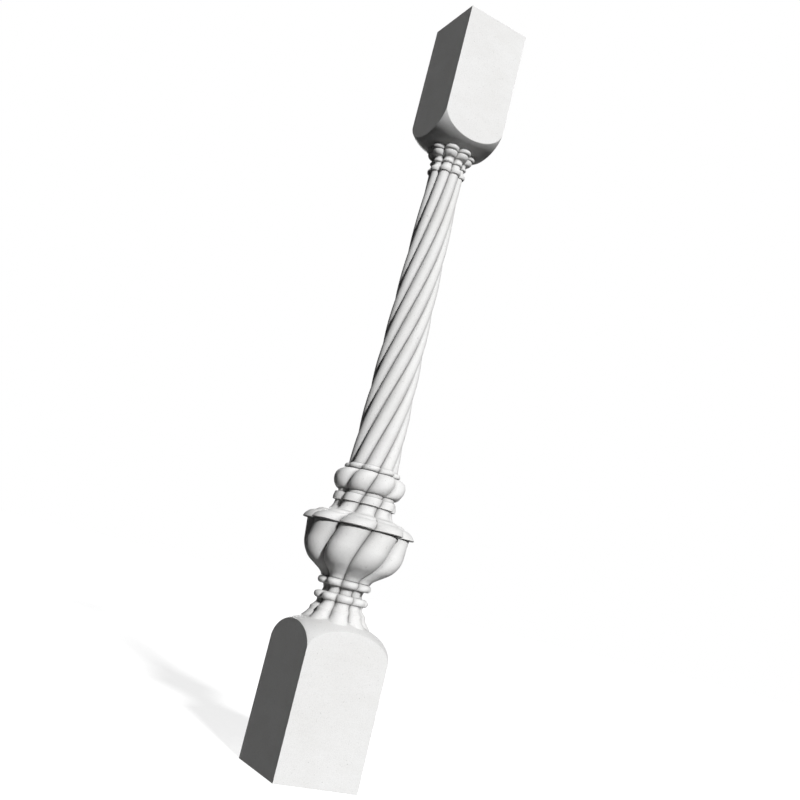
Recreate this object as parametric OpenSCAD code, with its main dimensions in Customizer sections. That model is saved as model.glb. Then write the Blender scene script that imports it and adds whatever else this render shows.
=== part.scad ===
// A stone baluster carved from one block: a square bottom block and a square top block
// with domed shoulders, and between them a turned stem of eight rounded lobes that wind
// once round on their way up. The stem carries a flared foot, two rings, a vase with a
// drip rim, a stepped neck, a collar, a large torus, a tapering shaft and a small capital.
// Millimetres. The underside lies on z = 0 and the axis is the z axis.

/* [Whole baluster] */
// Height from the bottom bed to the top bed
height = 1000; // [900:10:1250]
// Number of rounded lobes round the stem
lobes = 8; // [6:1:10]
// Depth of the groove between two lobes, as a share of the stem's radius
groove = 0.22; // [0.16:0.01:0.26]
// Angle the lobes wind through from the bottom block to the top block, in degrees
winding = 360; // [180:45:540]

/* [Blocks] */
// Width of the square bottom block
foot_block_w = 109; // [96:1:132]
// Width of the square top block
head_block_w = 90; // [78:1:108]
// Height of the straight sides of the bottom block
foot_block_h = 146; // [110:1:180]
// Height of the straight sides of the top block
head_block_h = 146; // [110:1:180]
// Height of the domed shoulder on each block
shoulder_h = 43.4; // [38:0.2:50]

/* [Foot and rings] */
// Radius of the foot where it leaves the shoulder
foot_r = 42.8; // [38:0.2:47]
// Height of the flare, from the shoulder to the narrow band
foot_flare_h = 9.6; // [8:0.2:14]
// Radius of the narrow band above the flare of the foot
foot_band_r = 35.2; // [32:0.2:38]
// Height of the narrow band
foot_band_h = 4; // [3:0.2:8]
// Height of the hollow between the narrow band and the lower ring
foot_hollow_h = 10.5; // [9:0.5:15]
// Outer radius of the two rings under the vase
ring_r = 34.4; // [31:0.2:40]
// Height of each ring
ring_h = 9.4; // [8:0.2:12]
// Radius of the hollow between the rings
ring_neck_r = 24.7; // [20:0.2:28]
// Height of the hollow between the rings
ring_gap = 8.6; // [6:0.2:12]

/* [Vase] */
// Radius of the vase at its belly
vase_r = 64.4; // [56:0.2:74]
// Height of the vase from the upper ring to the rim
vase_h = 64.1; // [54:0.1:80]
// Radius of the drip rim
rim_r = 71.5; // [68:0.5:84]
// Height of the drip rim
rim_h = 11.2; // [8:0.2:15]
// Radius of the step above the rim
step_r = 57.4; // [48:0.2:60]
// Height of the step
step_h = 4.7; // [3.5:0.1:7]
// Radius of the throat above the vase
throat_r = 37.3; // [33:0.2:42]
// Height of the throat, from the step to the collar
throat_h = 13.6; // [9:0.2:20]

/* [Collar and torus] */
// Radius of the flat collar
collar_r = 41.2; // [38:0.2:48]
// Height of the flat collar
collar_h = 9.8; // [6:0.2:14]
// Height of the throat that shows between the collar and the torus
collar_gap = 4.2; // [2:0.2:8]
// Radius of the large torus
torus_r = 46.9; // [42:0.2:54]
// Height of the large torus
torus_h = 26.5; // [24:0.5:34]
// Radius of the bead under the shaft
bead_r = 36.1; // [34:0.2:41]
// Height of the bead under the shaft
bead_h = 7.6; // [5:0.2:11]

/* [Shaft and capital] */
// Radius of the shaft at its foot
shaft_low_r = 31.5; // [27:0.1:33]
// Radius of the shaft at its top
shaft_high_r = 22.8; // [19:0.1:25]
// Radius of the astragal on top of the shaft
astragal_r = 25.8; // [23:0.1:29]
// Height of the astragal
astragal_h = 9.7; // [8:0.1:14]
// Radius of the neck between the astragal and the small bead
neck_r = 22; // [18:0.1:24]
// Height of the neck
neck_h = 3; // [1.5:0.1:8]
// Radius of the small bead under the capital
neck_bead_r = 24.9; // [23:0.1:28]
// Height of the small bead
neck_bead_h = 5.7; // [4:0.1:9]
// Height of the hollow under the lower round
capital_hollow_h = 2.9; // [2:0.1:6]
// Radius of the lower round of the capital
low_round_r = 30.2; // [27:0.1:33]
// Height of the lower round
low_round_h = 7.5; // [5.5:0.1:10]
// Radius of the upper round of the capital, under the top block
high_round_r = 32.8; // [29:0.1:36]
// Height of the upper round
high_round_h = 6.8; // [5:0.1:9]

/* [Hidden] */
// straight lines across one lobe, and rings of points along the shaft
lobe_steps = 6;
shaft_steps = 15;
// circles of the lobes: distance of their centres from the axis, their radius, and the
// angle from a lobe's crown to its groove, all for a stem radius of 1
half_lobe = 180 / lobes;
groove_at = 1 - groove;
lobe_centre = (1 - groove_at * groove_at) / (2 * (1 - groove_at * cos(half_lobe)));
lobe_round = 1 - lobe_centre;
lobe_half_arc = atan2(groove_at * sin(half_lobe), groove_at * cos(half_lobe) - lobe_centre);
// a dome is a little wider than its block's corners
dome_share = 0.711;
// the foot leaves its shoulder at this share of the shoulder's height
foot_seat = 0.85;
// how far the upper round starts below the tip of the top shoulder
head_seat = 1.2;
// small step between two mouldings
quirk = 0.2;
// heights of the mouldings, from the bottom up
flare_z = foot_block_h + shoulder_h * foot_seat;
band_z = flare_z + foot_flare_h;
hollow_z = band_z + foot_band_h;
ring_low_z = hollow_z + foot_hollow_h;
gap_z = ring_low_z + ring_h;
ring_high_z = gap_z + ring_gap;
vase_z = ring_high_z + ring_h;
rim_z = vase_z + vase_h;
step_z = rim_z + rim_h;
throat_z = step_z + step_h;
collar_z = throat_z + throat_h;
collar_top_z = collar_z + collar_h;
torus_z = collar_top_z + collar_gap;
bead_z = torus_z + torus_h;
shaft_z = bead_z + bead_h;
// heights of the capital, from the top down
head_z = height - head_block_h;
high_round_z = head_z - shoulder_h - head_seat;
low_round_z = high_round_z - low_round_h;
neck_bead_top_z = low_round_z - capital_hollow_h;
neck_bead_z = neck_bead_top_z - neck_bead_h;
astragal_top_z = neck_bead_z - neck_h;
astragal_z = astragal_top_z - astragal_h;
astragal_wide_z = astragal_z + astragal_h * 0.4;
// the belly of the vase: its height and the radius of its round
belly_z = vase_z + vase_h * 0.62;
belly_round = 29.5;
// the lobes start to wind just above the bottom block and stop just inside the top block
wind_from = foot_block_h + 10;
wind_to = head_z + 12;

// Curves of the outline, as points [height, radius].
// Round: n steps along an ellipse about (zc, rc), from angle a0 to a1 above the level.
function round_of(zc, rc, high, wide, a0, a1, n) =
    [for (i = [0 : n]) let (a = a0 + (a1 - a0) * i / n) [zc + high * sin(a), rc + wide * cos(a)]];
// Bead: half round between two heights that stands out from radius r.
function bead(z0, z1, r, out, n) =
    round_of((z0 + z1) / 2, r, (z1 - z0) / 2, out - r, -90, 90, n);
// Hollow or swelling that leaves the first point upright and arrives level.
function upright_first(z0, r0, z1, r1, n) = round_of(z0, r1, z1 - z0, r0 - r1, 0, 90, n);
// Hollow or swelling that leaves the first point level and arrives upright.
function level_first(z0, r0, z1, r1, n) = round_of(z1, r0, z1 - z0, r1 - r0, -90, 0, n);

// Outline of the stem over the crowns of its lobes, from inside one block to inside the other.
foot_outline = [
    [flare_z - 8, foot_r + 3],
    [flare_z, foot_r],
    [flare_z + foot_flare_h * 0.47, (foot_r + foot_band_r) / 2 - 0.1],
    [band_z, foot_band_r],
    [hollow_z, foot_band_r - 0.2],
    [hollow_z + 3, foot_band_r - 3.4],
    [hollow_z + 5.5, foot_band_r - 5.6],
    [hollow_z + 8, foot_band_r - 6.4]
];
ring_outline = [
    each bead(ring_low_z, gap_z, ring_r - 5, ring_r, 4),
    [gap_z + quirk, ring_neck_r + 0.8],
    [gap_z + 4, ring_neck_r],
    [ring_high_z - quirk, ring_neck_r + 1.5],
    each bead(ring_high_z, vase_z, ring_r - 5, ring_r, 4)
];
vase_outline = [
    [vase_z + quirk, ring_r - 2.6],
    [vase_z + 3.2, ring_r - 1],
    [vase_z + 6, ring_r + 2],
    each round_of(belly_z, vase_r - belly_round, belly_round, belly_round, -56, 0, 5),
    [rim_z, vase_r + 0.7],
    [rim_z + quirk, rim_r - 0.5],
    each round_of(rim_z - rim_h * 3 / 7, rim_r - 15, rim_h * 1.455, 16.3, 20, 75, 4),
    each round_of(step_z - step_h * 1.383, step_r - 8.2, step_h * 2.277, 10.7, 40, 84, 2),
    each level_first(throat_z + quirk, step_r - 12, collar_z - quirk, throat_r, 3)
];
torus_outline = [
    [collar_z, collar_r - 0.5],
    [collar_z + collar_h * 0.4, collar_r + 0.2],
    [collar_top_z - quirk, collar_r - 0.9],
    [collar_top_z, throat_r],
    [torus_z, throat_r],
    each bead(torus_z + quirk, bead_z, torus_r - 10.5, torus_r, 7),
    each bead(bead_z + quirk, shaft_z, bead_r - 3.4, bead_r, 4)
];
shaft_outline = [
    for (i = [0 : shaft_steps]) let (t = i / shaft_steps)
        [shaft_z + quirk + (astragal_z - shaft_z - quirk) * t,
         shaft_low_r + (shaft_high_r - shaft_low_r) * t]
];
capital_outline = [
    each round_of(astragal_wide_z, astragal_r - 1.7, astragal_h * 0.39, 1.7, -80, 0, 3),
    [astragal_wide_z + astragal_h * 0.15, astragal_r - 0.3],
    [astragal_wide_z + astragal_h * 0.35, (astragal_r + neck_r) / 2],
    [astragal_top_z, neck_r],
    [neck_bead_z - quirk, neck_r],
    each round_of(neck_bead_z + neck_bead_h * 0.37, neck_bead_r - 2.6,
                  neck_bead_h * 0.37, 2.6, -90, 0, 2),
    each round_of(neck_bead_top_z, neck_bead_r + 0.2, capital_hollow_h * 0.94, -2, 0, 60, 2),
    each round_of(high_round_z - 1.3, low_round_r - 6.4, low_round_h - 1, 6.4, -80, 0, 4),
    [high_round_z, low_round_r - 0.9],
    each bead(high_round_z + quirk, high_round_z + high_round_h,
              high_round_r - 3.2, high_round_r, 4)
];
outline = concat(foot_outline, ring_outline, vase_outline, torus_outline, shaft_outline,
                 capital_outline);

// How far the lobes have wound at height z: slow at both blocks, fastest half way.
function eased(t) = t * t * (3 - 2 * t);
function wound(z) = winding * eased(min(1, max(0, (z - wind_from) / (wind_to - wind_from))));

// One ring of points round the stem, lobe by lobe.
ring_points = lobes * lobe_steps;
function stem_ring(z, r) = [
    for (k = [0 : lobes - 1], s = [0 : lobe_steps - 1])
        let (crown = wound(z) + (2 * k + 1) * half_lobe,
             a = crown + lobe_half_arc * (2 * s / lobe_steps - 1))
        [r * (lobe_centre * cos(crown) + lobe_round * cos(a)),
         r * (lobe_centre * sin(crown) + lobe_round * sin(a)), z]
];

module stem() {
    top = len(outline) - 1;
    points = [
        for (p = outline) each stem_ring(p[0], p[1]),
        [0, 0, outline[0][0]],
        [0, 0, outline[top][0]]
    ];
    low_centre = len(points) - 2;
    high_centre = len(points) - 1;
    sides = [
        for (i = [0 : top - 1], j = [0 : ring_points - 1])
            let (a = i * ring_points + j, b = i * ring_points + (j + 1) % ring_points)
            each [[a, a + ring_points, b + ring_points], [a, b + ring_points, b]]
    ];
    ends = [
        for (j = [0 : ring_points - 1])
            let (next = (j + 1) % ring_points, up = top * ring_points)
            each [[low_centre, j, next], [high_centre, up + next, up + j]]
    ];
    polyhedron(points, concat(sides, ends));
}

// Square block on z = 0 under its domed shoulder. The dome is as wide as the block's
// corners, so it leaves a rounded arch on each of the four faces.
module domed_block(width, side_h) {
    dome_r = width * dome_share;
    intersection() {
        translate([-width / 2, -width / 2, 0]) cube([width, width, side_h + shoulder_h]);
        rotate_extrude($fn = 96) polygon([
            [0, 0],
            [dome_r, 0],
            for (a = [0 : 6 : 84]) [dome_r * cos(a), side_h + shoulder_h * sin(a)],
            [0, side_h + shoulder_h]
        ]);
    }
}

module baluster() {
    color("whitesmoke") union() {
        domed_block(foot_block_w, foot_block_h);
        translate([0, 0, height]) mirror([0, 0, 1]) domed_block(head_block_w, head_block_h);
        stem();
    }
}

baluster();
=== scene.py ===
# A stone baluster, carved from one block of pale fine-grained stone, on a plain pale floor
# in soft studio light. Metres, +Z up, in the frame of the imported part.
import bpy
import bmesh
from math import atan2, cos, pi, radians, sin
from mathutils import Matrix, Vector


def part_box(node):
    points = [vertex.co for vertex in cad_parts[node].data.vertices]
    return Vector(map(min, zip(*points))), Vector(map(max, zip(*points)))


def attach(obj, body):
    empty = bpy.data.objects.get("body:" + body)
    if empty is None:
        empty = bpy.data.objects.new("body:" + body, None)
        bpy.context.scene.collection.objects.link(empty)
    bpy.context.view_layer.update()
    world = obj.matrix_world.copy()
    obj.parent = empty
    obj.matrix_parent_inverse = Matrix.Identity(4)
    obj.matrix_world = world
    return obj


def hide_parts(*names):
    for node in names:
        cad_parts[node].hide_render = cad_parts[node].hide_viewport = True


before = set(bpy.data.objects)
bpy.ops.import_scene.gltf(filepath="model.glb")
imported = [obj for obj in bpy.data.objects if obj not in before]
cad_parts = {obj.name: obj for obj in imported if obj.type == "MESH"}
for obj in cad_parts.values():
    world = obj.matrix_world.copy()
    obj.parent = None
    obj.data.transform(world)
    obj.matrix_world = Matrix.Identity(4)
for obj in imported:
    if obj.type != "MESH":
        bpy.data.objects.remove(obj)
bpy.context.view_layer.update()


# ---- The baluster ----
# One piece of pale limestone. The mason saws it square, cuts a domed shoulder on both blocks,
# turns the stem to a templet, carves eight rounded lobes that wind once round the stem, and
# rubs the whole smooth.

low, high = (Vector(corner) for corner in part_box("baluster"))
height = high.z - low.z

# square blocks: width, height of the straight sides, and the shoulder above them
foot_block_w, foot_block_h = 0.109, 0.146
head_block_w, head_block_h = 0.090, 0.146
shoulder_h = 0.0434
# a dome is a little wider than its block's corners, so it leaves an arch on each face
dome_share = 0.711
# straight lines round a dome, and from its spring to its tip
dome_round_steps, dome_rise_steps = 96, 24
# the sharp edges are eased by hand, a fifth of a millimetre
arris = 0.0002
arris_steps = 3
# an edge is sharp where its faces turn by more than this
sharp_above = radians(25)
# room that an eased edge needs beside an arch
arris_room = 0.0009
# points nearer than this are one point
touching = 1e-6

# lobes: how many, depth of a groove as a share of the radius, and how far they wind
lobes = 8
groove = 0.22
winding = radians(360)
lobe_steps = 14

# the mouldings from the bottom up: radius over the crowns of the lobes, then height
foot_r, foot_flare_h = 0.0428, 0.0096
foot_band_r, foot_band_h = 0.0352, 0.0040
foot_hollow_h = 0.0105
ring_r, ring_h = 0.0344, 0.0094
ring_neck_r, ring_gap = 0.0247, 0.0086
vase_r, vase_h = 0.0644, 0.0641
rim_r, rim_h = 0.0709, 0.0112
step_r, step_h = 0.0574, 0.0047
throat_r, throat_h = 0.0373, 0.0136
collar_r, collar_h = 0.0412, 0.0098
collar_gap = 0.0042
torus_r, torus_h = 0.0469, 0.0265
bead_r, bead_h = 0.0361, 0.0076
shaft_low_r, shaft_high_r = 0.0315, 0.0228
astragal_r, astragal_h = 0.0258, 0.0097
neck_r, neck_h = 0.0220, 0.0030
neck_bead_r, neck_bead_h = 0.0249, 0.0057
capital_hollow_h = 0.0029
low_round_r, low_round_h = 0.0302, 0.0075
high_round_r, high_round_h = 0.0328, 0.0068

# the foot leaves its shoulder at this share of the shoulder's height, and the upper round
# of the capital starts this far below the tip of the top shoulder
foot_seat = 0.85
head_seat = 0.0012

# levels of the mouldings, up from the bottom block to the shaft
flare_z = foot_block_h + shoulder_h * foot_seat
band_z = flare_z + foot_flare_h
hollow_z = band_z + foot_band_h
ring_low_z = hollow_z + foot_hollow_h
gap_z = ring_low_z + ring_h
ring_high_z = gap_z + ring_gap
vase_z = ring_high_z + ring_h
belly_z = vase_z + vase_h * 0.62
rim_z = vase_z + vase_h
step_z = rim_z + rim_h
throat_z = step_z + step_h
collar_z = throat_z + throat_h
collar_top_z = collar_z + collar_h
torus_z = collar_top_z + collar_gap
bead_z = torus_z + torus_h
shaft_z = bead_z + bead_h
# and down from the top block to the top of the shaft
head_z = height - head_block_h
high_round_z = head_z - shoulder_h - head_seat
low_round_z = high_round_z - low_round_h
neck_bead_top_z = low_round_z - capital_hollow_h
neck_bead_z = neck_bead_top_z - neck_bead_h
astragal_top_z = neck_bead_z - neck_h
astragal_z = astragal_top_z - astragal_h
astragal_wide_z = astragal_z + astragal_h * 0.4


# The templet's curves, as points (height, radius).
def round_of(mid_z, mid_r, high, wide, start, end, steps):
    """Steps along an ellipse about a middle, between two angles in degrees above the level."""
    turns = [radians(start + (end - start) * i / steps) for i in range(steps + 1)]
    return [(mid_z + high * sin(a), mid_r + wide * cos(a)) for a in turns]


def bead(z0, z1, r, out, steps=14):
    """Half round between two heights that stands out from radius r."""
    return round_of((z0 + z1) / 2, r, (z1 - z0) / 2, out - r, -90, 90, steps)


def level_first(z0, r0, z1, r1, steps=8):
    """Hollow or swelling that leaves the first point level and arrives upright."""
    return round_of(z1, r0, z1 - z0, r1 - r0, -90, 0, steps)


def straight(z0, r0, z1, r1, steps):
    """Straight taper."""
    return [(z0 + (z1 - z0) * i / steps, r0 + (r1 - r0) * i / steps) for i in range(steps + 1)]


mm = 0.001
# small step between two mouldings
quirk = 0.2 * mm
# radius of the round of the vase's belly
belly_round = 29.5 * mm
templet = [
    # the flared foot, its narrow band and the hollow above
    (flare_z - 8 * mm, foot_r + 3 * mm),
    (flare_z, foot_r),
    (flare_z + foot_flare_h * 0.47, (foot_r + foot_band_r) / 2 - 0.1 * mm),
    (band_z, foot_band_r),
    (hollow_z, foot_band_r - 0.2 * mm),
    (hollow_z + 3 * mm, foot_band_r - 3.4 * mm),
    (hollow_z + 5.5 * mm, foot_band_r - 5.6 * mm),
    (hollow_z + 8 * mm, foot_band_r - 6.4 * mm),
    # two rings with a hollow between them
    *bead(ring_low_z, gap_z, ring_r - 5 * mm, ring_r),
    (gap_z + quirk, ring_neck_r + 0.8 * mm),
    (gap_z + 4 * mm, ring_neck_r),
    (ring_high_z - quirk, ring_neck_r + 1.5 * mm),
    *bead(ring_high_z, vase_z, ring_r - 5 * mm, ring_r),
    # the vase and its drip rim, then the step and the throat
    (vase_z + quirk, ring_r - 2.6 * mm),
    (vase_z + 3.2 * mm, ring_r - 1 * mm),
    (vase_z + 6 * mm, ring_r + 2 * mm),
    *round_of(belly_z, vase_r - belly_round, belly_round, belly_round, -56, 0, steps=24),
    (rim_z, vase_r + 0.7 * mm),
    (rim_z + quirk, rim_r - 0.5 * mm),
    *round_of(rim_z - rim_h * 3 / 7, rim_r - 15 * mm, rim_h * 1.455, 16.3 * mm, 20, 75, steps=14),
    *round_of(step_z - step_h * 1.383, step_r - 8.2 * mm, step_h * 2.277, 10.7 * mm,
              40, 84, steps=8),
    *level_first(throat_z + quirk, step_r - 12 * mm, collar_z - quirk, throat_r),
    # the flat collar, the large torus and the bead under the shaft
    (collar_z, collar_r - 0.5 * mm),
    (collar_z + collar_h * 0.4, collar_r + 0.2 * mm),
    (collar_top_z - quirk, collar_r - 0.9 * mm),
    (collar_top_z, throat_r),
    (torus_z, throat_r),
    *bead(torus_z + quirk, bead_z, torus_r - 10.5 * mm, torus_r, steps=24),
    *bead(bead_z + quirk, shaft_z, bead_r - 3.4 * mm, bead_r),
    # the shaft, in steps short enough for the winding lobes to run smoothly
    *straight(shaft_z + quirk, shaft_low_r, astragal_z, shaft_high_r, steps=110),
    # the astragal, which falls away to the neck
    *round_of(astragal_wide_z, astragal_r - 1.7 * mm, astragal_h * 0.39, 1.7 * mm, -85, 0, steps=8),
    (astragal_wide_z + astragal_h * 0.08, astragal_r - 0.1 * mm),
    (astragal_wide_z + astragal_h * 0.15, astragal_r - 0.3 * mm),
    (astragal_wide_z + astragal_h * 0.24, astragal_r - 0.9 * mm),
    (astragal_wide_z + astragal_h * 0.35, (astragal_r + neck_r) / 2),
    (astragal_wide_z + astragal_h * 0.47, neck_r + 0.8 * mm),
    (astragal_top_z, neck_r),
    # the small bead, and the capital's hollow and two rounds
    (neck_bead_z - quirk, neck_r),
    *round_of(neck_bead_z + neck_bead_h * 0.37, neck_bead_r - 2.6 * mm,
              neck_bead_h * 0.37, 2.6 * mm, -90, 0, steps=8),
    *round_of(neck_bead_top_z, neck_bead_r + 0.2 * mm, capital_hollow_h * 0.94, -2 * mm,
              0, 62, steps=8),
    *round_of(high_round_z - 1.3 * mm, low_round_r - 6.4 * mm, low_round_h - 1 * mm, 6.4 * mm,
              -80, 0, steps=14),
    (high_round_z, low_round_r - 0.9 * mm),
    *bead(high_round_z + quirk, high_round_z + high_round_h, high_round_r - 3.2 * mm, high_round_r),
]

# The lobes begin to wind just above the bottom block, slowly, turn fastest half way up,
# and come to rest just inside the top block.
wind_from = foot_block_h + 0.010
wind_to = head_z + 0.012


def wound(z):
    """How far the lobes have wound at a height."""
    t = min(1, max(0, (z - wind_from) / (wind_to - wind_from)))
    return winding * t * t * (3 - 2 * t)


def stem():
    """The lobed stem: one lobe swept round into a ring, drawn up along the templet."""
    # circle of a lobe: how far out its centre is, for a stem of radius 1, and half its sweep
    half_lobe = pi / lobes
    groove_at = 1 - groove
    lobe_centre = (1 - groove_at ** 2) / (2 * (1 - groove_at * cos(half_lobe)))
    lobe_half_arc = atan2(groove_at * sin(half_lobe), groove_at * cos(half_lobe) - lobe_centre)
    shape = bmesh.new()
    start = shape.verts.new((groove_at, 0, 0))
    middle = Vector((lobe_centre * cos(half_lobe), lobe_centre * sin(half_lobe), 0))
    bmesh.ops.spin(shape, geom=[start], cent=middle, axis=(0, 0, 1), angle=2 * lobe_half_arc,
                   steps=lobe_steps, use_duplicate=False)
    bmesh.ops.spin(shape, geom=shape.verts[:] + shape.edges[:], cent=(0, 0, 0), axis=(0, 0, 1),
                   angle=2 * pi * (lobes - 1) / lobes, steps=lobes - 1, use_duplicate=True)
    # each lobe ends where the next begins, at the bottom of a groove
    groove_joint = 1e-4
    bmesh.ops.remove_doubles(shape, verts=shape.verts, dist=groove_joint)
    ring = shape.edges[:]
    z, r = templet[0]
    bmesh.ops.transform(shape, verts=shape.verts, matrix=Matrix.Translation((0, 0, z))
                        @ Matrix.Rotation(wound(z), 4, "Z") @ Matrix.Diagonal((r, r, 1, 1)))
    bmesh.ops.contextual_create(shape, geom=ring)
    for next_z, next_r in templet[1:]:
        drawn = bmesh.ops.extrude_edge_only(shape, edges=ring)["geom"]
        ring = [part for part in drawn if isinstance(part, bmesh.types.BMEdge)]
        points = [part for part in drawn if isinstance(part, bmesh.types.BMVert)]
        grow = next_r / r
        turn = Matrix.Rotation(wound(next_z) - wound(z), 4, "Z")
        lift = Matrix.Translation((0, 0, next_z - z))
        bmesh.ops.transform(shape, verts=points,
                            matrix=lift @ turn @ Matrix.Diagonal((grow, grow, 1, 1)))
        z, r = next_z, next_r
    bmesh.ops.contextual_create(shape, geom=ring)
    bmesh.ops.recalc_face_normals(shape, faces=shape.faces)
    return shape


def domed_block(width, side_h):
    """A square block on z = 0: a domed post, sawn flat on four sides and eased at the edges."""
    dome_r = width * dome_share
    shape = bmesh.new()
    outline = [shape.verts.new((0, 0, 0)), shape.verts.new((dome_r, 0, 0))]
    for i in range(dome_rise_steps + 1):
        a = pi / 2 * i / dome_rise_steps
        x = dome_r * cos(a) if i < dome_rise_steps else 0
        outline.append(shape.verts.new((x, 0, side_h + shoulder_h * sin(a))))
    for a, b in zip(outline, outline[1:]):
        shape.edges.new((a, b))
    bmesh.ops.spin(shape, geom=shape.verts[:] + shape.edges[:], cent=(0, 0, 0), axis=(0, 0, 1),
                   angle=2 * pi, steps=dome_round_steps, use_merge=True)
    bmesh.ops.remove_doubles(shape, verts=shape.verts, dist=touching)
    bmesh.ops.recalc_face_normals(shape, faces=shape.faces)
    for side in ((1, 0, 0), (0, 1, 0), (-1, 0, 0), (0, -1, 0)):
        face = Vector(side)
        bmesh.ops.bisect_plane(shape, geom=shape.verts[:] + shape.edges[:] + shape.faces[:],
                               plane_co=face * width / 2, plane_no=face, clear_outer=True,
                               dist=touching)
        rim = [edge for edge in shape.edges if edge.is_boundary]
        bmesh.ops.contextual_create(shape, geom=rim)
    bed = [face for face in shape.faces if face.calc_center_median().z < touching]
    bmesh.ops.dissolve_faces(shape, faces=bed)
    # points of the dome too near an arch to leave room for its eased edge join the arch
    sawn = [point for point in shape.verts
            if max(abs(point.co.x), abs(point.co.y)) > width / 2 - touching]
    close = bmesh.ops.find_doubles(shape, verts=shape.verts, keep_verts=sawn, dist=arris_room)
    bmesh.ops.weld_verts(shape, targetmap=close["targetmap"])
    sharp = [edge for edge in shape.edges if edge.calc_face_angle(0) > sharp_above]
    bmesh.ops.bevel(shape, geom=sharp, offset=arris, offset_type="OFFSET", affect="EDGES",
                    segments=arris_steps, profile=0.5, material=-1, clamp_overlap=True)
    bmesh.ops.recalc_face_normals(shape, faces=shape.faces)
    return shape


# faces larger than this, in square metres, are sawn; rounded work is shaded smooth across
# edges where it turns by less than the angle
sawn_area = 0.001
smooth_below = radians(32)


def piece_of(name, shape):
    """Makes an object of a finished shape: rounded work smooth, sawn faces flat."""
    for face in shape.faces:
        face.smooth = face.calc_area() < sawn_area
    for edge in shape.edges:
        edge.smooth = len(edge.link_faces) == 2 and edge.calc_face_angle(0) < smooth_below
    mesh = bpy.data.meshes.new(name)
    shape.to_mesh(mesh)
    shape.free()
    piece = bpy.data.objects.new(name, mesh)
    bpy.context.collection.objects.link(piece)
    return piece


# the head block is drawn like the foot block and turned upside down; both are one stone
# with the stem
foot_block = domed_block(foot_block_w, foot_block_h)
head_block = domed_block(head_block_w, head_block_h)
bmesh.ops.transform(head_block, verts=head_block.verts,
                    matrix=Matrix.Translation((0, 0, height)) @ Matrix.Diagonal((1, 1, -1, 1)))
bmesh.ops.recalc_face_normals(head_block, faces=head_block.faces)
carved = piece_of("carved_baluster", stem())
blocks = (piece_of("foot_block", foot_block), piece_of("head_block", head_block))
for block in blocks:
    join = carved.modifiers.new("one_stone", "BOOLEAN")
    join.operation = "UNION"
    join.solver = "MANIFOLD"
    join.object = block
whole = bpy.data.meshes.new_from_object(
    carved.evaluated_get(bpy.context.evaluated_depsgraph_get()))
for block in blocks:
    bpy.data.objects.remove(block)
# slivers left where the blocks meet the stem and their own corners are closed up
sliver = 1e-5
shape = bmesh.new()
shape.from_mesh(whole)
bmesh.ops.remove_doubles(shape, verts=shape.verts, dist=sliver)
bmesh.ops.dissolve_degenerate(shape, edges=shape.edges, dist=sliver)
shape.to_mesh(whole)
shape.free()
carved.modifiers.clear()
carved.data = whole


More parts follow.
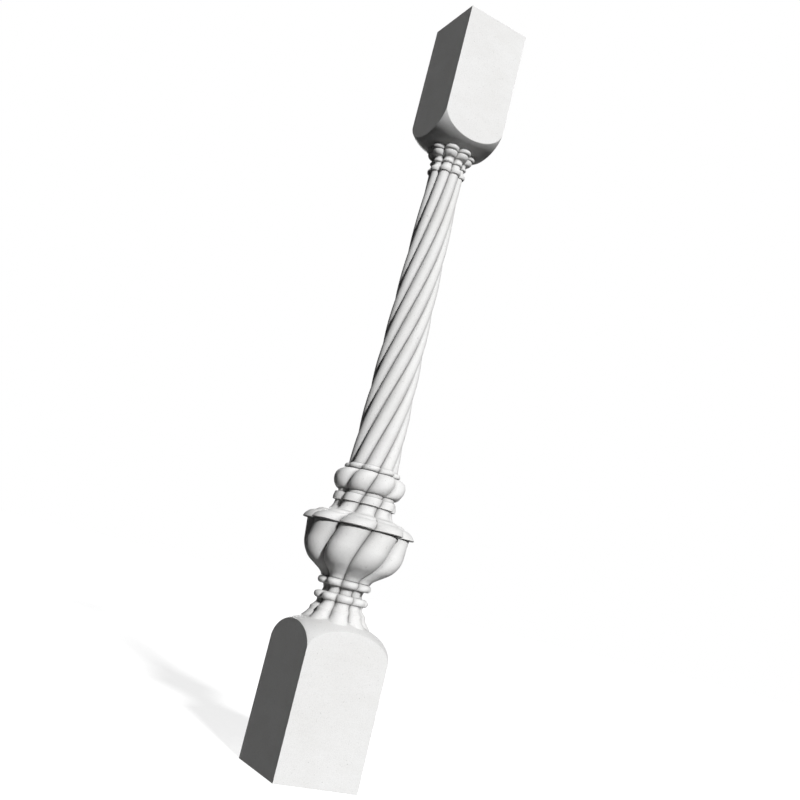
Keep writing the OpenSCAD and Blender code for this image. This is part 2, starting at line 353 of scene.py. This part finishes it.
def rubbed_stone():
    """Pale limestone, rubbed smooth after carving: nearly white, with soft clouds and faint
    beds, a fine grain of crystals, small open pores and the drag of the rubbing stone. Shade
    is painted into its colour deep in each groove and crease, and the eased edges are a shade
    lighter, partly wear and partly a painted highlight."""
    finish = bpy.data.materials.new("rubbed_pale_stone")
    finish.use_nodes = True
    nodes, links = finish.node_tree.nodes, finish.node_tree.links
    stone = nodes["Principled BSDF"]
    place = nodes.new("ShaderNodeTexCoord").outputs["Object"]

    def grain(scale, detail, rough, stretch=(1, 1, 1)):
        """Noise in the stone, a patch every 1/scale metres, longer where stretch is small."""
        turn = nodes.new("ShaderNodeMapping")
        turn.inputs["Scale"].default_value = stretch
        noise = nodes.new("ShaderNodeTexNoise")
        noise.inputs["Scale"].default_value = scale
        noise.inputs["Detail"].default_value = detail
        noise.inputs["Roughness"].default_value = rough
        links.new(place, turn.inputs["Vector"])
        links.new(turn.outputs["Vector"], noise.inputs["Vector"])
        return noise.outputs["Fac"]

    def shade(pattern, low_at, low_tint, high_at, high_tint):
        """Turns a pattern into tints, one below low_at and the other above high_at."""
        ramp = nodes.new("ShaderNodeValToRGB")
        for stop, at, tint in zip(ramp.color_ramp.elements, (low_at, high_at), (low_tint, high_tint)):
            stop.position = at
            stop.color = (*tint, 1)
        links.new(pattern, ramp.inputs["Fac"])
        return ramp.outputs["Color"]

    def grey(level):
        return (level, level, level)

    def over(base, tint):
        """Lays one tint over another, as a glaze darkens what it covers."""
        mix = nodes.new("ShaderNodeMix")
        mix.data_type = "RGBA"
        mix.blend_type = "MULTIPLY"
        mix.inputs["Factor"].default_value = 1
        # a Mix node has sockets of every kind, and these are the ones for colours
        below, above, mixed = mix.inputs[6], mix.inputs[7], mix.outputs[2]
        links.new(base, below)
        links.new(tint, above)
        return mixed

    def hidden_from_light(reach):
        """Darker the more stone stands round a spot, within a reach in metres; it paints shade into
        the colour.
        """
        depth = nodes.new("ShaderNodeAmbientOcclusion")
        depth.samples = 8
        depth.only_local = True
        depth.inputs["Distance"].default_value = reach
        return depth.outputs["AO"]

    def bend(reach):
        """1 on flat stone, and less the more it turns within a reach in metres."""
        softened = nodes.new("ShaderNodeBevel")
        softened.samples = 6
        softened.inputs["Radius"].default_value = reach
        facing = nodes.new("ShaderNodeNewGeometry").outputs["Normal"]
        agree = nodes.new("ShaderNodeVectorMath")
        agree.operation = "DOT_PRODUCT"
        links.new(facing, agree.inputs[0])
        links.new(softened.outputs["Normal"], agree.inputs[1])
        return agree.outputs["Value"]

    clouds = shade(grain(scale=9, detail=4, rough=0.55),
                   low_at=0.3, low_tint=(0.865, 0.862, 0.855),
                   high_at=0.7, high_tint=(0.9, 0.9, 0.897))
    beds = shade(grain(scale=26, detail=5, rough=0.6, stretch=(1, 1, 2.2)),
                 low_at=0.35, low_tint=(0.972, 0.97, 0.965), high_at=0.65, high_tint=grey(1))
    crystals = shade(grain(scale=850, detail=3, rough=0.7),
                     low_at=0.36, low_tint=grey(0.93), high_at=0.52, high_tint=grey(1))
    pores = shade(grain(scale=420, detail=1.5, rough=0.5),
                  low_at=0.25, low_tint=grey(0.78), high_at=0.31, high_tint=grey(1))
    # painted shade: the colour is darkened where stone stands round a spot, deep between the lobes
    # and under the mouldings
    painted_groove_shade = shade(hidden_from_light(reach=0.025),
                    low_at=0.3, low_tint=grey(0.5), high_at=0.9, high_tint=grey(1))
    # painted shade: the colour is darkened in the tight creases between the mouldings
    painted_crease_shade = shade(hidden_from_light(reach=0.003),
                    low_at=0.3, low_tint=grey(0.55), high_at=0.8, high_tint=grey(1))
    # the eased edges a shade lighter than flat stone: partly wear, partly a painted highlight along
    # the arrises
    edges = shade(bend(reach=0.0014),
                  low_at=0.8, low_tint=grey(1), high_at=0.99, high_tint=grey(0.975))
    colour = clouds
    for tint in (beds, crystals, pores, painted_groove_shade, painted_crease_shade, edges):
        colour = over(colour, tint)
    links.new(colour, stone.inputs["Base Color"])

    def relief(pattern, height, under=None):
        """Raises the surface where a pattern is light, by a height in metres."""
        bump = nodes.new("ShaderNodeBump")
        bump.inputs["Strength"].default_value = 1
        bump.inputs["Distance"].default_value = height
        links.new(pattern, bump.inputs["Height"])
        if under:
            links.new(under, bump.inputs["Normal"])
        return bump.outputs["Normal"]

    drag = relief(grain(scale=380, detail=2, rough=0.6, stretch=(1, 1, 0.05)), height=0.00007)
    rubbed = relief(grain(scale=700, detail=4, rough=0.7), height=0.00022, under=drag)
    links.new(relief(pores, height=0.0005, under=rubbed), stone.inputs["Normal"])

    sheen = shade(grain(scale=60, detail=3, rough=0.6),
                  low_at=0.35, low_tint=grey(0.68), high_at=0.65, high_tint=grey(0.82))
    links.new(sheen, stone.inputs["Roughness"])
    stone.inputs["Specular IOR Level"].default_value = 0.15
    return finish


whole.materials.clear()
whole.materials.append(rubbed_stone())

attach(carved, "root")
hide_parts("baluster")


# ---- The camera ----
# It stands low in front of the baluster, a little to the left, and looks slightly up; it is
# rolled, so that the baluster leans to the right in the frame.
camera = bpy.data.objects.new("camera", bpy.data.cameras.new("camera"))
camera.data.sensor_width = 36
camera.data.lens = 43.4355
camera.data.clip_start = 0.01
# its place, in heights of the baluster, and its turn: an axis, as long as the angle
stand = Vector((-0.543396, -1.080183, 0.224575)) * height
turned = Vector((1.38651270, -0.163426496, 0.599811127))
# the turn is given with y down and z ahead, and a camera has y up and z behind
down_and_ahead = Matrix(((1, 0, 0), (0, -1, 0), (0, 0, -1)))
look = down_and_ahead @ Matrix.Rotation(turned.length, 3, turned)
camera.matrix_world = Matrix.Translation(stand) @ look.transposed().to_4x4()
bpy.context.collection.objects.link(camera)
bpy.context.scene.camera = camera


# ---- Floor and light ----
# A plain white studio: a level floor of paper, so wide that its edges are never seen, fades
# into a white surround, and two soft lamps stand a long way off.
floor_shape = bmesh.new()
bmesh.ops.create_grid(floor_shape, x_segments=1, y_segments=1, size=30)
floor_mesh = bpy.data.meshes.new("floor")
floor_shape.to_mesh(floor_mesh)
floor_shape.free()
floor = bpy.data.objects.new("floor", floor_mesh)
bpy.context.collection.objects.link(floor)


def shown_by(nodes, links):
    """1 where a thing is seen by the camera, in a reflection or through glass, and 0 where
    it only gives light."""
    ray = nodes.new("ShaderNodeLightPath").outputs
    mirrored = nodes.new("ShaderNodeMath")
    mirrored.operation = "MAXIMUM"
    links.new(ray["Is Glossy Ray"], mirrored.inputs[0])
    links.new(ray["Is Transmission Ray"], mirrored.inputs[1])
    either = nodes.new("ShaderNodeMath")
    either.operation = "MAXIMUM"
    links.new(ray["Is Camera Ray"], either.inputs[0])
    links.new(mirrored.outputs["Value"], either.inputs[1])
    return either.outputs["Value"]


def background(nodes, strength):
    """A plain white surround."""
    surround = nodes.new("ShaderNodeBackground")
    surround.inputs["Color"].default_value = (1, 1, 1, 1)
    surround.inputs["Strength"].default_value = strength
    return surround.outputs["Background"]


paper = bpy.data.materials.new("white_paper")
paper.use_nodes = True
nodes, links = paper.node_tree.nodes, paper.node_tree.links
nodes.clear()
out = nodes.new("ShaderNodeOutputMaterial")
# what is seen: paper bright enough to meet the white surround, with a soft shadow on it
sheet = nodes.new("ShaderNodeBsdfDiffuse")
sheet.inputs["Color"].default_value = (0.6, 0.6, 0.6, 1)
glow = nodes.new("ShaderNodeEmission")
glow.inputs["Color"].default_value = (1, 1, 1, 1)
glow.inputs["Strength"].default_value = 0.74
bright = nodes.new("ShaderNodeAddShader")
links.new(sheet.outputs["BSDF"], bright.inputs[0])
links.new(glow.outputs["Emission"], bright.inputs[1])
# what lights the stone: a plain floor that throws a little light back up
plain = nodes.new("ShaderNodeBsdfDiffuse")
plain.inputs["Color"].default_value = (0.03, 0.03, 0.03, 1)
choose = nodes.new("ShaderNodeMixShader")
links.new(shown_by(nodes, links), choose.inputs["Fac"])
links.new(plain.outputs["BSDF"], choose.inputs[1])
links.new(bright.outputs["Shader"], choose.inputs[2])
links.new(choose.outputs["Shader"], out.inputs["Surface"])
floor_mesh.materials.append(paper)

world = bpy.data.worlds.new("surround")
bpy.context.scene.world = world
world.use_nodes = True
nodes, links = world.node_tree.nodes, world.node_tree.links
nodes.clear()
out = nodes.new("ShaderNodeOutputWorld")
choose = nodes.new("ShaderNodeMixShader")
links.new(shown_by(nodes, links), choose.inputs["Fac"])
links.new(background(nodes, strength=0.002), choose.inputs[1])
links.new(background(nodes, strength=1), choose.inputs[2])
links.new(choose.outputs["Shader"], out.inputs["Surface"])


def lamp_from(name, side, rise, strength, softness):
    """A soft, even lamp a long way off, on the compass side and rise given in degrees."""
    lamp = bpy.data.lights.new(name, "SUN")
    lamp.energy = strength
    lamp.angle = radians(softness)
    a, e = radians(side), radians(rise)
    towards = Vector((-sin(a) * cos(e), -cos(a) * cos(e), sin(e)))
    stand = bpy.data.objects.new(name, lamp)
    stand.rotation_euler = towards.to_track_quat("Z", "Y").to_euler()
    bpy.context.collection.objects.link(stand)


# the key lamp stands in front, a little to the left; a weaker one lights the back
lamp_from("key_lamp", side=4.5, rise=25, strength=3.55, softness=6)
lamp_from("back_lamp", side=200, rise=14, strength=2.2, softness=10)

bpy.context.scene.view_settings.view_transform = "Standard"
